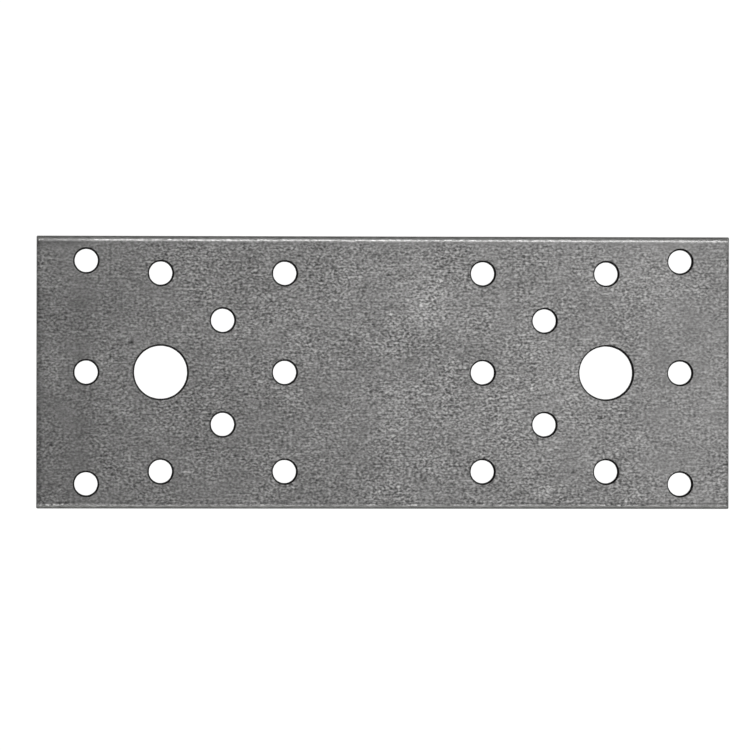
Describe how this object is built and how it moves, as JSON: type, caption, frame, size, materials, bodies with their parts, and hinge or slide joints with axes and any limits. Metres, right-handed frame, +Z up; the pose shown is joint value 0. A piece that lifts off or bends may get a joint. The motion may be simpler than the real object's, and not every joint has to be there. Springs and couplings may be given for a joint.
{
  "type": "mending plate",
  "caption": "Flat rectangular steel connector plate that joins two timbers in line, with small nail holes and larger bolt holes mirrored about the joint.",
  "frame": {"origin": "middle of the underside", "axes": "+X along the plate, +Y across it, +Z up through its thickness out of the face that shows"},
  "size_m": [0.14, 0.055, 0.0025],
  "materials": {
    "galvanised_steel": "hot-dip galvanised strip steel, dull mid-grey with a fine rolled grain along its length; the cut edges are bare steel"
  },
  "bodies": {
    "root": {"mending_plate": "galvanised_steel"}
  },
  "joints": []
}
